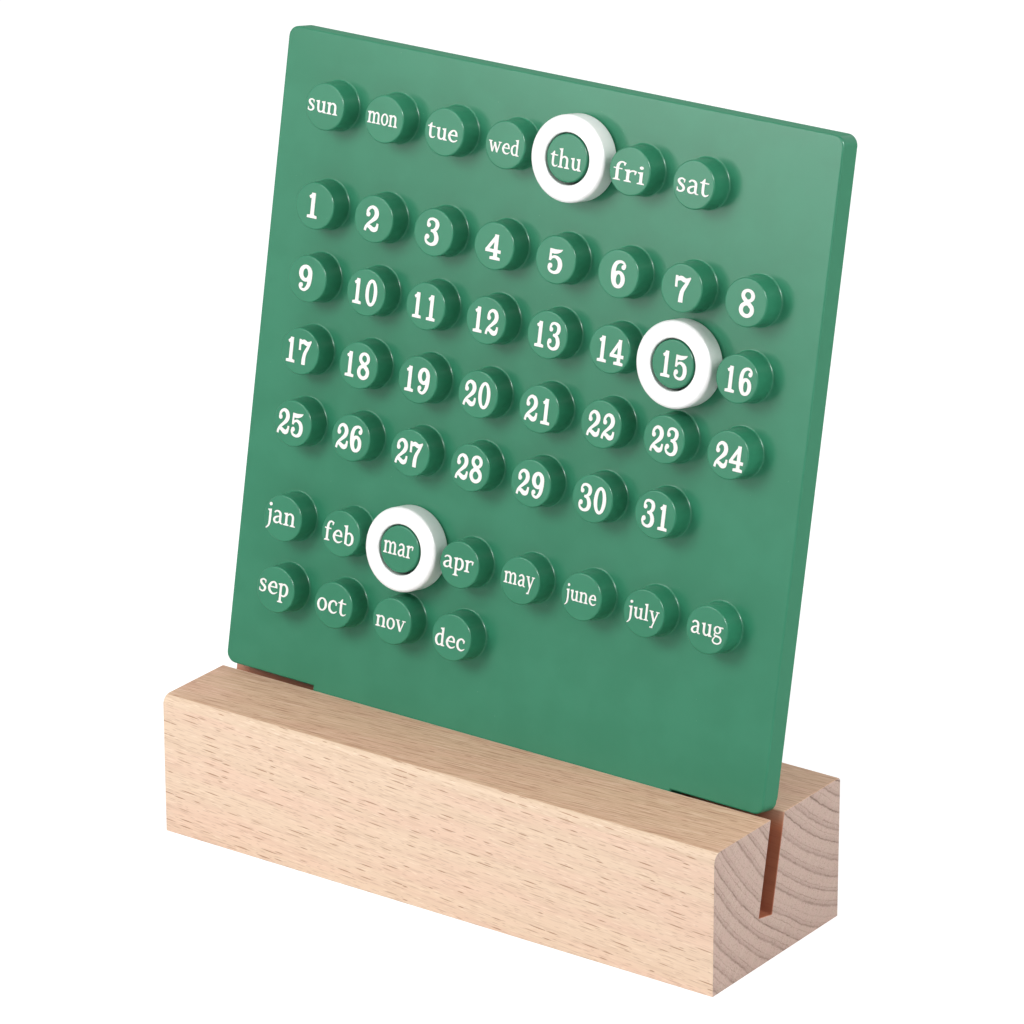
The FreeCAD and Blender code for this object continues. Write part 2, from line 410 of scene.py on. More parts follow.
# Each letter's advance and strokes, for letters as high as letterHeight
letters = {
    "a": (2.55, pen((0.42, 2.2, 0.34), (0.78, 2.56, 0.36), (1.3, 2.6, 0.42), (1.74, 2.32, 0.5),
                    (1.86, 1.8, 0.55), (1.86, 0.6, 0.52), (2.05, 0.16, 0.34), (2.5, 0.1, 0.18))
          + pen((1.8, 1.58, 0.24), (1.2, 1.46, 0.34), (0.62, 1.15, 0.46), (0.4, 0.7, 0.54),
                (0.6, 0.26, 0.46), (1.08, 0.14, 0.38), (1.5, 0.32, 0.3), (1.85, 0.7, 0.26))),
    "b": (2.5, stem(0.62, 0.15, 4.0) + flag(0.62, 4.15) + bowlRight(0.62)),
    "c": (2.3, pen((1.98, 2.2, 0.4), (1.62, 2.56, 0.36), (1.15, 2.58, 0.4), (0.6, 2.16, 0.52),
                   (0.4, 1.35, 0.58), (0.62, 0.54, 0.54), (1.2, 0.14, 0.42), (1.75, 0.22, 0.32),
                   (2.22, 0.58, 0.16))
          + shape((1.82, 1.78), (2.06, 1.74), (2.18, 2.4), (1.85, 2.5))),
    "d": (2.62, stem(1.95, 0.1, 4.0) + flag(1.95, 4.15) + foot(1.95, left=0)
          + pen((1.85, 2.25, 0.26), (1.5, 2.58, 0.33), (1.0, 2.5, 0.42), (0.52, 2.02, 0.54),
                (0.38, 1.32, 0.58), (0.54, 0.62, 0.54), (0.95, 0.18, 0.42), (1.4, 0.2, 0.32),
                (1.85, 0.6, 0.26))),
    "e": (2.5, bar(0.55, 1.38, 2.4, 1.64)
          + pen((2.16, 1.5, 0.5), (2.02, 2.2, 0.46), (1.52, 2.6, 0.36), (0.85, 2.28, 0.48),
                (0.4, 1.42, 0.56), (0.64, 0.58, 0.54), (1.25, 0.15, 0.42), (1.9, 0.22, 0.32),
                (2.42, 0.6, 0.18))),
    "f": (1.75, stem(0.66, 0.1, 2.6) + foot(0.66) + bar(0, 2.46, 1.5, 2.72)
          + pen((0.66, 2.4, 0.55), (0.72, 3.25, 0.54), (1.0, 3.9, 0.42), (1.42, 4.12, 0.34),
                (1.85, 3.98, 0.36))
          + shape((1.72, 3.42), (1.92, 3.42), (2.12, 4.05), (1.75, 4.12))),
    "g": (2.6, loop(1.15, 1.86, 0.72, 0.42, 0.72, 0.25) + bar(1.5, 2.36, 2.6, 2.62)
          + pen((0.75, 1.3, 0.2), (0.5, 0.95, 0.26), (0.6, 0.62, 0.36), (1.2, 0.5, 0.4),
                (1.9, 0.36, 0.42), (2.25, -0.1, 0.42), (2.1, -0.72, 0.38), (1.4, -1.1, 0.32),
                (0.6, -1.02, 0.32), (0.22, -0.62, 0.36), (0.36, -0.15, 0.3), (0.8, 0.42, 0.24))),
    "h": (2.95, stem(0.66, 0.1, 4.2) + flag(0.66, 4.35) + arch(0.66, 1.6) + foot(0.66) + foot(2.26)),
    "i": (1.3, stem(0.66, 0.1, 2.6) + flag(0.66, 2.75) + foot(0.66) + ball(0.62, 3.62, 0.34)),
    "j": (1.15, flag(0.66, 2.75) + ball(0.62, 3.75, 0.36)
          + pen((0.66, 2.6, 0.55), (0.67, 1.2, 0.55), (0.66, 0.0, 0.52), (0.5, -0.75, 0.42),
                (0.2, -1.15, 0.32), (-0.12, -1.45, 0.2))),
    "l": (1.32, stem(0.66, 0.1, 4.0) + flag(0.66, 4.15) + foot(0.66)),
    "m": (4.35, stem(0.66, 0.1, 2.6) + flag(0.66, 2.75) + arch(0.66, 1.5) + arch(2.16, 1.5)
          + foot(0.66) + foot(2.16) + foot(3.66)),
    "n": (2.9, stem(0.66, 0.1, 2.6) + flag(0.66, 2.75) + arch(0.66, 1.58) + foot(0.66) + foot(2.24)),
    "o": (2.35, loop(1.17, 1.36, 0.9, 0.5, 1.25, 0.3)),
    "p": (2.5, stem(0.62, -1.3, 2.6) + flag(0.62, 2.75) + bowlRight(0.62) + foot(0.62, -1.4)),
    "r": (2.15, stem(0.66, 0.1, 2.6) + flag(0.66, 2.75) + foot(0.66)
          + pen((0.78, 1.95, 0.2), (1.1, 2.42, 0.32), (1.55, 2.6, 0.4), (2.0, 2.5, 0.34))
          + shape((1.78, 1.82), (1.96, 1.82), (2.18, 2.62), (1.8, 2.68))),
    "s": (1.95, shape((1.46, 1.92), (1.62, 1.92), (1.7, 2.6), (1.4, 2.62))
          + shape((0.12, 0.1), (0.36, 0.18), (0.28, 0.86), (0.12, 0.86))
          + pen((1.52, 2.4, 0.26), (1.2, 2.62, 0.32), (0.8, 2.62, 0.36), (0.44, 2.34, 0.48),
                (0.42, 1.94, 0.52), (0.8, 1.56, 0.56), (1.28, 1.24, 0.58), (1.54, 0.8, 0.52),
                (1.36, 0.34, 0.44), (0.88, 0.12, 0.34), (0.46, 0.2, 0.3), (0.22, 0.42, 0.24))),
    "t": (1.9, bar(0, 2.46, 1.8, 2.72) + shape((0.2, 2.6), (0.96, 2.6), (0.96, 3.42), (0.8, 3.45))
          + pen((0.68, 2.7, 0.55), (0.68, 0.9, 0.55), (0.84, 0.34, 0.5), (1.2, 0.12, 0.38),
                (1.6, 0.22, 0.28), (1.88, 0.48, 0.14))),
    "u": (2.8, flag(0.7, 2.75) + flag(2.18, 2.75) + stem(2.18, 0.1, 2.6) + foot(2.18, left=0)
          + pen((0.7, 2.5, 0.55), (0.7, 1.0, 0.55), (0.86, 0.42, 0.5), (1.25, 0.15, 0.38),
                (1.7, 0.28, 0.3), (2.08, 0.75, 0.24))),
    "v": (2.7, penLine(0.5, 2.6, 1.4, 0.1, 0.56) + penLine(1.42, 0.1, 2.25, 2.6, 0.3)
          + bar(0, 2.52, 1.05, 2.75) + bar(1.8, 2.52, 2.7, 2.75)
          + shape((1.15, 0.4), (1.38, -0.08), (1.5, -0.08), (1.65, 0.4))),
    "w": (3.9, penLine(0.5, 2.6, 1.28, 0.1, 0.54) + penLine(1.3, 0.1, 1.95, 2.3, 0.3)
          + penLine(1.85, 2.45, 2.68, 0.1, 0.54) + penLine(2.7, 0.1, 3.45, 2.6, 0.3)
          + bar(0, 2.52, 1.05, 2.75) + bar(3.0, 2.52, 3.9, 2.75)
          + shape((1.05, 0.4), (1.25, -0.08), (1.38, -0.08), (1.5, 0.4))
          + shape((2.45, 0.4), (2.65, -0.08), (2.78, -0.08), (2.9, 0.4))),
    "y": (2.7, penLine(0.5, 2.6, 1.42, 0.15, 0.54) + penLine(2.25, 2.6, 1.0, -1.15, 0.34)
          + bar(0, 2.52, 1.05, 2.75) + bar(1.8, 2.52, 2.7, 2.75)
          + shape((0.42, -1.38), (1.2, -1.38), (1.2, -0.95), (0.9, -0.98), (0.42, -1.15))),
}

# Words, with the height of their small letters and how far below the cap's middle they stand
weekdayWords = [
    ("sun", 2.7, 1.4), ("mon", 2.65, 1.3), ("tue", 2.7, 1.75), ("wed", 2.4, 1.9), ("thu", 2.7, 2.3),
    ("fri", 2.7, 2.3), ("sat", 3.0, 1.96),
]
monthWords = [
    ("jan", 3.0, 1.37), ("feb", 3.0, 2.2), ("mar", 2.9, 1.5), ("apr", 2.75, 1.15), ("may", 2.65, 1.1),
    ("june", 2.4, 1.2), ("july", 2.5, 1.4), ("aug", 2.8, 1.25), ("sep", 3.0, 1.1), ("oct", 3.0, 1.8),
    ("nov", 2.6, 1.8), ("dec", 2.8, 2.4),
]


def moved(polygons, shift, stretch=(1, 1)):
    return [np.array(shift) + polygon * stretch for polygon in polygons]


def columnShare(number):
    return number % panel["columns"] / (panel["columns"] - 1)


def numberLabel(number):
    share = columnShare(number - 1)
    x = legend["numberLeft"] + share * (legend["numberRight"] - legend["numberLeft"])
    y = legend["numberLow"] + share * (legend["numberLowest"] - legend["numberLow"])
    text = str(number)
    squeeze = legend["pairSqueeze"] if len(text) > 1 else 1
    starts = x + (np.arange(len(text)) - (len(text) - 1) / 2) * legend["pairPitch"]
    return sum((moved(digits[digit], (start, y), (squeeze, 1)) for digit, start in zip(text, starts)), [])


def wordLabel(word, height, drop, number):
    polygons, x = [], 0
    for letter in word:
        advance, strokes = letters[letter]
        polygons += moved(strokes, (x, 0))
        x += advance + legend["letterGap"]
    corners = np.concatenate(polygons)
    left, right = corners[:, 0].min(), corners[:, 0].max()
    middle = legend["wordLeft"] + columnShare(number) * (legend["wordRight"] - legend["wordLeft"])
    stretch = legend["wordWidth"] / (right - left)
    shift = (middle - stretch * (left + right) / 2, -drop)
    return moved(polygons, shift, (stretch, height / legend["letterHeight"]))


def makeLegend(name, labels, places, finish):
    # Each label's flat outline, stood from just under the cap to just over it.
    shell = Shell()
    low = panelFront + panel["pegHeight"] - legend["root"]
    high = panelFront + panel["pegHeight"] + legend["thickness"]
    for polygons, place in zip(labels, places):
        flat, triangles = filled(polygons, lambda covers: len(covers) > 0)
        triangles = np.array(triangles)
        edges = np.concatenate([triangles[:, [0, 1]], triangles[:, [1, 2]], triangles[:, [2, 0]]])
        _, first, uses = np.unique(np.sort(edges, 1), axis=0, return_index=True, return_counts=True)
        rim = edges[first[uses == 1]]
        flat, count = flat + place, len(flat)
        points = np.concatenate([np.column_stack([flat, np.full(count, depth)]) for depth in (high, low)])
        walls = np.column_stack([rim[:, ::-1], rim + count])
        shell.add(leaning(points), np.concatenate([triangles, triangles[:, ::-1] + count]))
        shell.add(leaning(points), walls)
    return shell.piece(name, finish, "panel")


# Rings, which take their size and place from the solids
ring = dict(outerRound=0.8, innerRound=0.35, sides=144, roundSteps=8)


def makeRing(name, node, body, finish):
    # The section's pairs (radius, depth) go once round the ring's middle.
    points = cadPoints(node) @ leanAxes.T
    low, high = points.min(0), points.max(0)
    middle = (low + high)[:2] / 2
    reach = np.linalg.norm(points[:, :2] - middle, axis=1)
    outerRadius, bore = reach.max(), reach.min()
    outer, inner, steps = ring["outerRound"], ring["innerRound"], ring["roundSteps"]
    section = np.concatenate([
        (outerRadius - outer, high[2] - outer) + arc(outer, 0, 90, steps),
        (bore + inner, high[2] - inner) + arc(inner, 90, 180, steps),
        (bore + inner, low[2] + inner) + arc(inner, 180, 270, steps),
        (outerRadius - outer, low[2] + outer) + arc(outer, 270, 360, steps),
    ])
    turns = arc(1, 0, 360, ring["sides"])[:-1]
    flat = middle + section[:, None, :1] * turns
    depths = np.broadcast_to(section[:, None, 1:], flat.shape[:2] + (1,))
    shell = Shell()
    shell.add(leaning(np.concatenate([flat, depths], -1)), gridFaces(*flat.shape[:2], True, True))
    made = shell.piece(name, finish, body, [node])
    evenNormals(made)
    return made


# Block
block = dict(
    frontRound=2.3, backRound=1.0, roundSteps=10, slotWidth=5.25, slotDepth=22.2, slotSetback=22.1,
    easedEdge=0.25, easedSteps=3, easedFrom=40,
)
blockLow, blockHigh = (np.array(corner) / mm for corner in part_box("base_block"))
slotMouth = np.array([blockLow[1] + block["slotSetback"], blockHigh[2]])


def makeBlock(finish):
    # The section's pairs (y, z) carried straight along X, and closed with the same section at each end.
    front, back, steps = block["frontRound"], block["backRound"], block["roundSteps"]
    low, high = blockLow[1:], blockHigh[1:]
    up, inwards = leanAxes[1, 1:], -leanAxes[2, 1:]
    rise = -inwards[1] / up[1]
    farMouth = slotMouth + block["slotWidth"] * (inwards + rise * up)
    floorFront = slotMouth - block["slotDepth"] * up
    floorBack = floorFront + block["slotWidth"] * inwards
    section = np.concatenate([
        [low, (high[0], low[1])],
        high - back + arc(back, 0, 90, steps),
        [farMouth, floorBack, floorFront, slotMouth],
        (low[0] + front, high[1] - front) + arc(front, 90, 180, steps),
    ])
    ends = np.array([blockLow[0], blockHigh[0]])
    across = np.broadcast_to(ends[:, None, None], (2, len(section), 1))
    points = np.concatenate([across, np.broadcast_to(section, (2,) + section.shape)], -1)
    shell = Shell()
    shell.add(points, gridFaces(2, len(section), wrapColumns=True))
    shell.add(points, np.arange(2 * len(section)).reshape(2, -1))
    made = shell.piece("beech_block", finish, "block", ["base_block"])
    bevel = made.modifiers.new("eased edges", "BEVEL")
    bevel.width = block["easedEdge"] * mm
    bevel.segments = block["easedSteps"]
    bevel.limit_method = "ANGLE"
    bevel.angle_limit = np.radians(block["easedFrom"])
    evenNormals(made)
    return made


# Materials
class Wire:  # an output socket, so that shader maths is written as sums
    def __init__(self, finish, socket):
        self.finish, self.socket = finish, socket

    def maths(self, operation, *values):
        return self.finish.node("Math", dict(operation=operation), dict(enumerate(values)))

    def __add__(self, other):
        return self.maths("ADD", self, other)

    def __sub__(self, other):
        return self.maths("SUBTRACT", self, other)

    def __rsub__(self, other):
        return self.maths("SUBTRACT", other, self)

    def __mul__(self, other):
        return self.maths("MULTIPLY", self, other)

    def __truediv__(self, other):
        return self.maths("DIVIDE", self, other)

    def __pow__(self, other):
        return self.maths("POWER", self, other)

    def __abs__(self):
        return self.maths("ABSOLUTE", self)

    __radd__, __rmul__ = __add__, __mul__

    def ramp(self, low, high, start=0.0, end=1.0):  # eases from start at low to end at high
        ends = {"Value": self, "From Min": low, "From Max": high, "To Min": start, "To Max": end}
        return self.finish.node("MapRange", dict(interpolation_type="SMOOTHSTEP"), ends)

    def parts(self):  # a vector's three numbers
        split = self.finish.node("SeparateXYZ", values={0: self}, out="X")
        return [split, split.twin("Y"), split.twin("Z")]

    def twin(self, out):  # another output of the same node
        return Wire(self.finish, self.socket.node.outputs[out])


class Finish:  # a material, and the one way to add a node to it
    def __init__(self, name):
        self.material = bpy.data.materials.new(name)
        self.material.use_nodes = True
        self.tree = self.material.node_tree
        self.tree.nodes.clear()

    def node(self, kind, settings=None, values=None, out=0):
        new = self.tree.nodes.new("ShaderNode" + kind)
        for key, value in (settings or {}).items():
            setattr(new, key, value)
        for key, value in (values or {}).items():
            if isinstance(value, Wire):
                self.tree.links.new(value.socket, new.inputs[key])
            else:
                new.inputs[key].default_value = value
        return Wire(self, new.outputs[out]) if len(new.outputs) else None

    def place(self):  # the point of the surface, as three numbers in millimetres
        spot = self.node("TexCoord", out="Object")
        return self.node("VectorMath", dict(operation="SCALE"), {0: spot, "Scale": 1 / mm}).parts()

    def vector(self, x, y, z=0.0):
        return self.node("CombineXYZ", values={"X": x, "Y": y, "Z": z})

    def spread(self, ways, sizes):  # a vector of the ways, each over its size
        return self.vector(*[way / size for way, size in zip(ways, sizes)])

    def noise(self, vector, detail=2.0, roughness=0.5):
        values = {"Vector": vector, "Scale": 1.0, "Detail": detail, "Roughness": roughness}
        return self.node("TexNoise", values=values)

    def cells(self, vector, dimensions="2D", out="Distance"):
        values = {"Vector": vector, "Scale": 1.0}
        return self.node("TexVoronoi", dict(voronoi_dimensions=dimensions), values, out=out)

    def mix(self, factor, first, second, blend="MIX"):
        values = {0: factor, 6: first, 7: second}
        return self.node("Mix", dict(data_type="RGBA", blend_type=blend), values, out=2)

    def bump(self, height, distance, strength=1.0):
        values = {"Height": height, "Distance": distance * mm, "Strength": strength}
        return self.node("Bump", values=values)

    def surface(self, values):
        shader = self.node("BsdfPrincipled", values=values)
        self.node("OutputMaterial", values={"Surface": shader})
        return self.material


def colour(red, green, blue):
    return (red, green, blue, 1.0)


# Beech. Fibres run along the block, dip a little to the right and drift to the back. Year rings go round
# a pith above and behind the right end. The rays show as thin dark spindles on the long faces.
# A Size says how far a pattern runs along each of its ways before it changes. A Level, a Reach or a Width
# fades from its first number to its last.
beech = dict(
    pithBack=54, pithUp=85, dip=3.2, drift=0.07, reach=90, sideTurn=0.7, topStart=60,
    wobble=1.6, wanderSize=(45, 16, 16), shiver=0.7, shiverSize=(30, 1.3, 1.3),
    ringSpacing=3.7, spacingChange=6, spacingSize=(9, 1), brokenSize=(3.5, 0.5, 1),
    ringLine=0.88, thinLine=0.3, thirdLine=0.6, lineWidth=(0.085, 0.01), thinWidth=(0.05, 0.0),
    fibreSize=(14, 0.42), broadSize=(50, 6),
    raySize=(0.45, 9, 1), poreSize=(0.5, 0.28, 1), blotchSize=(1.2, 2.2, 1),
    largeRays=dict(cell=(7.4, 1.75), size=(5.2, 0.40), seed=0.0),
    smallRays=dict(cell=(3.4, 0.7), size=(2.8, 0.26), seed=17.3),
    paleRays=dict(cell=(4.6, 1.1), size=(3.2, 0.36), seed=41.9),
    pale=colour(0.815, 0.618, 0.458), pink=colour(0.82, 0.59, 0.447), edge=colour(0.735, 0.555, 0.40),
    fleck=colour(0.40, 0.20, 0.115), paleToneAndHighlight=colour(0.96, 0.80, 0.65),
    end=colour(0.535, 0.398, 0.330), endWarm=colour(0.545, 0.388, 0.330),
    endLine=colour(0.17, 0.10, 0.07), endRay=colour(0.63, 0.50, 0.425),
    top=colour(0.805, 0.687, 0.628), slot=colour(0.52, 0.23, 0.145),
    topLevel=(33.42, 33.48), endReach=(74.9, 74.97), roundShadeLevel=(31.0, 31.9), roundShadeReach=(-22.0, -22.8),
    slotShadeLevel=(33.55, 33.3, 29.5), arrisIn=0.16, arrisWidth=(0.18, 0.1), arrisLevel=(33.2, 33.3),
)


def spindles(wood, along, across, cell, size, seed):
    # One lens in each cell, 1 - (way along / its half length) squared - (way across / its half width).
    cellAlong, cellAcross = along / cell[0] + seed, across / cell[1]
    middle = wood.cells(wood.vector(cellAlong, cellAcross), out="Position")
    middleAlong, middleAcross, _ = middle.parts()
    longer, darker, _ = middle.twin("Color").parts()
    wayAlong = (cellAlong - middleAlong) * (2 * cell[0] / size[0]) / (0.35 + longer)
    wayAcross = abs(cellAcross - middleAcross) * (2 * cell[1] / size[1])
    return (1 - wayAlong * wayAlong - wayAcross).ramp(0.0, 0.7) * darker.ramp(0.0, 0.9, 0.2, 1.0)


def beechFinish():
    wood = Finish("planed_beech")
    x, y, z = wood.place()
    slope = np.tan(np.radians(beech["dip"]))
    up = (x - float(blockHigh[0])) * slope + z

    # Where the surface lies: on the top, in the slot, or on a sawn end
    onTop = z.ramp(*beech["topLevel"])
    depth = (y - slotMouth[0]) * -leanAxes[2, 1] + (z - slotMouth[1]) * -leanAxes[2, 2]
    betweenWalls = depth.ramp(-0.2, -0.1) * (block["slotWidth"] + 0.2 - depth).ramp(0.0, 0.1)
    # Inside the slot the wood is painted darker and redder, more so further down, as painted shade in the
    # recess.
    mouth, under, deep = beech["slotShadeLevel"]
    slotShade = betweenWalls * (z.ramp(mouth, under) * 3 + z.ramp(under, deep)) * 0.25
    isEnd = abs(x).ramp(*beech["endReach"])

    # The way across the fibres, over the top or down the front and the back
    downSide = abs(y) * beech["sideTurn"] - z - x * slope
    overTop = y - x * beech["drift"] + beech["topStart"]
    across = downSide + (overTop - downSide) * onTop

    # Year rings, uneven in width and in darkness
    back, high = y - beech["pithBack"], up - beech["pithUp"]
    wander = wood.noise(wood.spread((x, y, up), beech["wanderSize"]), 1.0) - 0.5
    shiver = wood.noise(wood.spread((x, y, up), beech["shiverSize"]), 2.0) - 0.5
    radius = (back * back + high * high) ** 0.5 + wander * beech["wobble"] + shiver * beech["shiver"]
    around = high.maths("ARCTAN2", high, back) * beech["reach"]
    change = wood.noise(wood.spread((radius, 3.7), beech["spacingSize"]), 1.0) - 0.5
    year = (radius + change * beech["spacingChange"]) / beech["ringSpacing"]
    ringAge = year.maths("FRACT", year)
    ringShade = wood.node("TexWhiteNoise", dict(noise_dimensions="1D"), {"W": year.maths("FLOOR", year)})
    broken = wood.noise(wood.spread((around, radius, 7.7), beech["brokenSize"]), 2.0)
    broken = broken.ramp(0.3, 0.62, 0.25, 1.0)
    ringLine = abs(ringAge - beech["ringLine"]).ramp(*beech["lineWidth"])
    ringLine = ringLine * ringShade.ramp(0.0, 1.0, 0.5, 1.0) * broken
    thinLine = abs(ringAge - beech["thinLine"]).ramp(*beech["thinWidth"])
    thirdLine = abs(ringAge - beech["thirdLine"]).ramp(*beech["thinWidth"])
    thinLine = thinLine * ringShade.ramp(0.2, 0.7) * broken
    thinLine = thinLine + thirdLine * (1 - ringShade).ramp(0.2, 0.8) * broken
    lateWood = ringAge.ramp(0.35, 0.9) * ringAge.ramp(1.0, 0.93)

    # Fibres, broad shades and the spindles of the rays, on the long faces
    fibre = wood.noise(wood.spread((x, across), beech["fibreSize"]), 3.0, 0.62)
    broad = wood.noise(wood.spread((x, across), beech["broadSize"]), 2.0)
    large, small, paleFlecks = (
        spindles(wood, x, across, **beech[kind]) * (1 - slotShade)
        for kind in ("largeRays", "smallRays", "paleRays")
    )
    plain = wood.mix(broad.ramp(0.4, 0.64), beech["pale"], beech["pink"])
    # The rounded edge between the front and the top is painted darker with edge, as painted shade.
    roundShade = z.ramp(*beech["roundShadeLevel"]) * y.ramp(*beech["roundShadeReach"])
    plain = wood.mix(roundShade * 0.85, plain, beech["edge"])
    streak = fibre.ramp(0.45, 0.78, 0.0, 0.28) * onTop.ramp(0.0, 1.0, 1.0, 2.6) + lateWood * 0.07
    plain = wood.mix(streak, plain, beech["fleck"])
    # Pale flecks, and pale streaks on the top, in a paler tone of the wood; the same colour paints the
    # arris highlight below.
    paler = paleFlecks * 0.4 + fibre.ramp(0.46, 0.25, 0.0, 0.9) * onTop
    plain = wood.mix(paler, plain, beech["paleToneAndHighlight"])
    flecks = (large * 0.9).maths("MAXIMUM", large * 0.9, small * 0.45)
    side = wood.mix(flecks * onTop.ramp(0.0, 1.0, 1.0, 0.8), plain, beech["fleck"])
    # The top face is multiplied darker by top: partly the wood's own tone there, partly painted shade.
    side = wood.mix(onTop, side, wood.mix(1.0, side, beech["top"], "MULTIPLY"))
    # A thin pale line along the front arris of the slot's mouth is a painted highlight.
    arrisHighlight = abs(y - float(slotMouth[0]) + beech["arrisIn"]).ramp(*beech["arrisWidth"])
    side = wood.mix(arrisHighlight * z.ramp(*beech["arrisLevel"]) * 0.6, side, beech["paleToneAndHighlight"])

    # The sawn ends, where the rings and the rays are cut across
    rays = wood.noise(wood.spread((around, radius, 9.1), beech["raySize"]), 2.0, 0.6)
    pores = wood.noise(wood.spread((around, radius, 5.3), beech["poreSize"]), 2.0, 0.7)
    blotch = wood.noise(wood.spread((around, radius, 2.2), beech["blotchSize"]), 3.0, 0.65)
    end = wood.mix(blotch.ramp(0.38, 0.62), beech["end"], beech["endWarm"])
    end = wood.mix(rays.ramp(0.5, 0.72, 0.0, 0.5), end, beech["endRay"])
    lines = ringLine * 0.6 + thinLine * 0.4 + lateWood * 0.2 + pores.ramp(0.5, 0.78, 0.0, 0.5)
    end = wood.mix(lines, end, beech["endLine"])
    whole = wood.mix(isEnd, side, end)
    # Painted shade inside the slot, multiplied by the slot colour.
    whole = wood.mix(slotShade * (1 - isEnd), whole, wood.mix(1.0, whole, beech["slot"], "MULTIPLY"))

    height = fibre * 0.5 - large * 0.6 - small * 0.3 - ringLine * isEnd
    return wood.surface({
        "Base Color": whole, "Roughness": fibre.ramp(0.3, 0.7, 0.5, 0.62), "Specular IOR Level": 0.35,
        "Normal": wood.bump(height, 0.05, 0.6),
    })


green = dict(
    base=colour(0.029, 0.201, 0.108), pale=colour(0.033, 0.215, 0.118), edge=colour(0.044, 0.220, 0.123),
    speck=colour(0.16, 0.40, 0.28), speckSpacing=4.0, speckSize=0.12,
    grainSize=0.35, mottleSize=9, edgeFade=(-0.3, -0.05),
    roughness=0.32, edgeRoughness=0.7, shine=0.16, gloss=0.15, glossRoughness=0.2,
)


def greenFinish():
    # Moulded plastic: a fine spark-eroded grain, a faint mottle, and a few specks of dust.
    moulded = Finish("green_moulded_plastic")
    x, y, z = moulded.place()
    mottle = moulded.noise(moulded.spread((x, y, z), [green["mottleSize"]] * 3), 3.0)
    grain = moulded.noise(moulded.spread((x, y, z), [green["grainSize"]] * 3), 1.0)
    dust = moulded.cells(moulded.spread((x, y, z), [green["speckSpacing"]] * 3), "3D")
    share = green["speckSize"] / green["speckSpacing"]
    speck = dust.ramp(share, 0.3 * share)
    shade = moulded.mix(mottle.ramp(0.35, 0.65), green["base"], green["pale"])

    # The walls round the outside of the plate are rougher than its front, and are painted paler than it
    # as painted light.
    past = (y * leanAxes[1, 1] + z * leanAxes[1, 2]) - float(panelTop)
    paintedLitRoughWalls = past.maths("MAXIMUM", past, abs(x - panelMiddle) - panelHalf).ramp(*green["edgeFade"])
    shade = moulded.mix(paintedLitRoughWalls, shade, green["edge"])
    rough = mottle.ramp(0.3, 0.7, green["roughness"] - 0.01, green["roughness"] + 0.015)
    return moulded.surface({
        "Base Color": moulded.mix(speck * 0.6, shade, green["speck"]),
        "Roughness": rough + paintedLitRoughWalls * (green["edgeRoughness"] - green["roughness"]),
        "Specular IOR Level": green["shine"], "Coat Weight": (1 - paintedLitRoughWalls) * green["gloss"],
        "Coat Roughness": green["glossRoughness"], "Normal": moulded.bump(grain, 0.01, 0.35),
    })


white = dict(
    base=colour(0.86, 0.86, 0.85), shade=colour(0.83, 0.835, 0.83), flowSize=4, roughness=0.3,
)


def whiteFinish():
    # Smooth moulded plastic with a faint flow mottle.
    moulded = Finish("white_moulded_plastic")
    x, y, z = moulded.place()
    flow = moulded.noise(moulded.spread((x, y, z), [white["flowSize"]] * 3), 2.0)
    return moulded.surface({
        "Base Color": moulded.mix(flow.ramp(0.4, 0.65), white["base"], white["shade"]),
        "Roughness": flow.ramp(0.3, 0.7, white["roughness"], white["roughness"] + 0.06),
        "Normal": moulded.bump(flow, 0.02, 0.3),
    })


ink = dict(base=colour(0.86, 0.82, 0.79), thin=colour(0.77, 0.78, 0.74), coverSize=0.5, roughness=0.5)


def inkFinish():
    # Pad-printed ink, a little thinner here and there.
    printed = Finish("white_print")
    x, y, z = printed.place()
    cover = printed.noise(printed.spread((x, y, z), [ink["coverSize"]] * 3), 2.0)
    return printed.surface({
        "Base Color": printed.mix(cover.ramp(0.55, 0.8), ink["base"], ink["thin"]),
        "Roughness": cover.ramp(0.3, 0.7, ink["roughness"], ink["roughness"] + 0.08),
    })


# Camera, from the photograph's own view
view = dict(
    place=(663.73, -924.07, 527.47), turn=0.6196, dip=0.3694, roll=0.0021,
    focalPixels=5561.05, photoPixels=1024, filmWidth=36, farthest=20000,
)


def makeCamera():
    cos, sin = np.cos, np.sin
    turn, dip, roll = view["turn"], view["dip"], view["roll"]
    ahead = np.array([-sin(turn) * cos(dip), cos(turn) * cos(dip), -sin(dip)])
    right = np.array([cos(turn), sin(turn), 0])
    down = np.cross(ahead, right)
    right, down = cos(roll) * right + sin(roll) * down, cos(roll) * down - sin(roll) * right
    matrix = np.eye(4)
    matrix[:3] = np.column_stack([right, -down, -ahead, np.array(view["place"]) * mm])
    lens = bpy.data.cameras.new("camera")
    lens.sensor_width = view["filmWidth"]
    lens.lens = view["focalPixels"] * lens.sensor_width / view["photoPixels"]
    lens.clip_end = view["farthest"] * mm
    made = bpy.data.objects.new("camera", lens)
    made.matrix_world = Matrix(matrix.tolist())
    bpy.context.scene.collection.objects.link(made)
    bpy.context.scene.camera = made


# Light: white all round, a soft key lamp high in front to the left, and a larger one high on the right.
# Two more lamps only show as reflections: a low one as the panel's sheen, and one on the pegs' rims.
light = dict(
    around=0.56, aim=(0, 0, 90),
    lamps=dict(
        key=dict(place=(-294, -631, 578), size=430, watts=4.4),
        fill=dict(place=(1000, 100, 800), size=700, watts=6.6),
        sheen=dict(place=(-650, -1225, 385), size=470, watts=7.2, glossOnly=True),
        rims=dict(place=(650, -460, 700), size=240, watts=21.0, glossOnly=True),
    ),
)


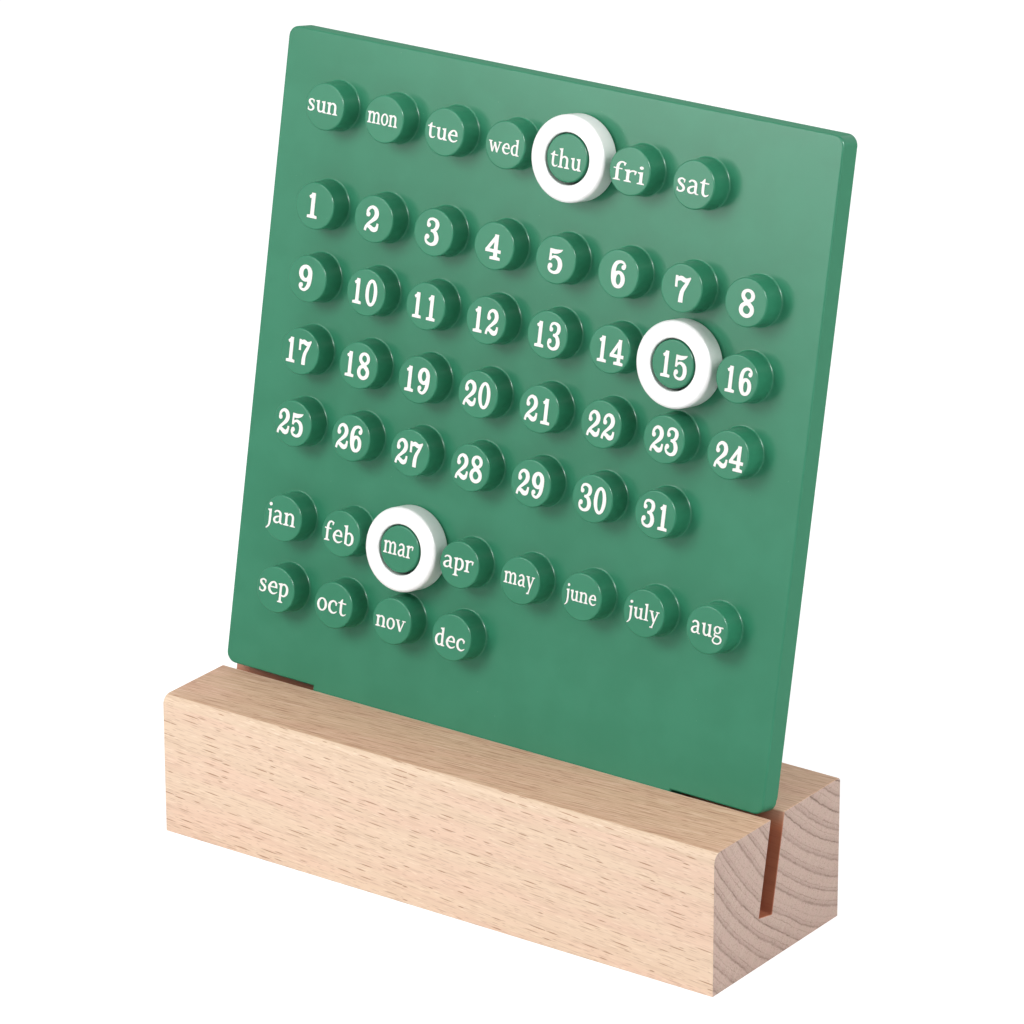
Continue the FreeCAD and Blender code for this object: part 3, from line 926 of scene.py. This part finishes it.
def makeWorld():
    world = bpy.data.worlds.new("white studio")
    world.use_nodes = True
    bpy.context.scene.world = world
    tree = world.node_tree
    path = tree.nodes.new("ShaderNodeLightPath")
    kinds = ("Is Camera Ray", "Is Glossy Ray", "Is Transmission Ray")
    seen, *others = (path.outputs[kind] for kind in kinds)
    for other in others:
        either = tree.nodes.new("ShaderNodeMath")
        either.operation = "MAXIMUM"
        tree.links.new(seen, either.inputs[0])
        tree.links.new(other, either.inputs[1])
        seen = either.outputs[0]
    level = tree.nodes.new("ShaderNodeMapRange")
    level.inputs["To Min"].default_value = light["around"]
    level.inputs["To Max"].default_value = 1
    tree.links.new(seen, level.inputs["Value"])
    background = tree.nodes["Background"]
    background.inputs["Color"].default_value = (1, 1, 1, 1)
    tree.links.new(level.outputs[0], background.inputs["Strength"])


def makeLamp(name, place, size, watts, glossOnly=False):
    lamp = bpy.data.lights.new(name, "AREA")
    lamp.shape = "DISK"
    lamp.size = size * mm
    lamp.energy = watts
    made = bpy.data.objects.new(name, lamp)
    made.visible_diffuse = not glossOnly
    away = np.array(place, float) - light["aim"]
    away /= np.linalg.norm(away)
    side = np.cross((0, 0, 1), away)
    side /= np.linalg.norm(side)
    matrix = np.eye(4)
    matrix[:3] = np.column_stack([side, np.cross(away, side), away, np.array(place) * mm])
    made.matrix_world = Matrix(matrix.tolist())
    bpy.context.scene.collection.objects.link(made)


# Floor of white paper
floor = dict(half=3000, paper=colour(0.8, 0.8, 0.8), seenPaper=colour(0.4, 0.4, 0.4), glow=0.76)


def makeFloor():
    # The camera sees the paper lit up to white, with the object's shadow left on it.
    paper = Finish("white_floor")
    plain = paper.node("BsdfDiffuse", values={"Color": floor["paper"]})
    seen = paper.node("BsdfDiffuse", values={"Color": floor["seenPaper"]})
    glow = paper.node("Emission", values={"Color": colour(1, 1, 1), "Strength": floor["glow"]})
    lit = paper.node("AddShader", values={0: seen, 1: glow})
    camera = paper.node("LightPath", out="Is Camera Ray")
    either = paper.node("MixShader", values={0: camera, 1: plain, 2: lit})
    paper.node("OutputMaterial", values={"Surface": either})
    half = floor["half"] * mm
    corners = [(-half, -half, 0), (half, -half, 0), (half, half, 0), (-half, half, 0)]
    mesh = bpy.data.meshes.new("floor")
    mesh.from_pydata(corners, [], [(0, 1, 2, 3)])
    mesh.materials.append(paper.material)
    made = bpy.data.objects.new("floor", mesh)
    bpy.context.scene.collection.objects.link(made)


bpy.context.scene.view_settings.view_transform = "Standard"
makeCamera()
makeWorld()
for name, lamp in light["lamps"].items():
    makeLamp(name, **lamp)
makeFloor()
print("camera, light and floor ready")

wood, plastic, ringPlastic, paint = beechFinish(), greenFinish(), whiteFinish(), inkFinish()
makeBlock(wood)
makePanel(plastic)
weekdayLabels = [wordLabel(*word, number) for number, word in enumerate(weekdayWords)]
dateLabels = [numberLabel(number + 1) for number in range(panel["dates"])]
monthLabels = [wordLabel(*word, number) for number, word in enumerate(monthWords)]
makeLegend("weekday_print", weekdayLabels, weekdayPegs, paint)
makeLegend("date_print", dateLabels, datePegs, paint)
makeLegend("month_print", monthLabels, monthPegs, paint)
for kind in ("weekday", "date", "month"):
    makeRing(kind + "_marker_ring", kind + "_ring", kind + "_marker", ringPlastic)
print("pieces ready")
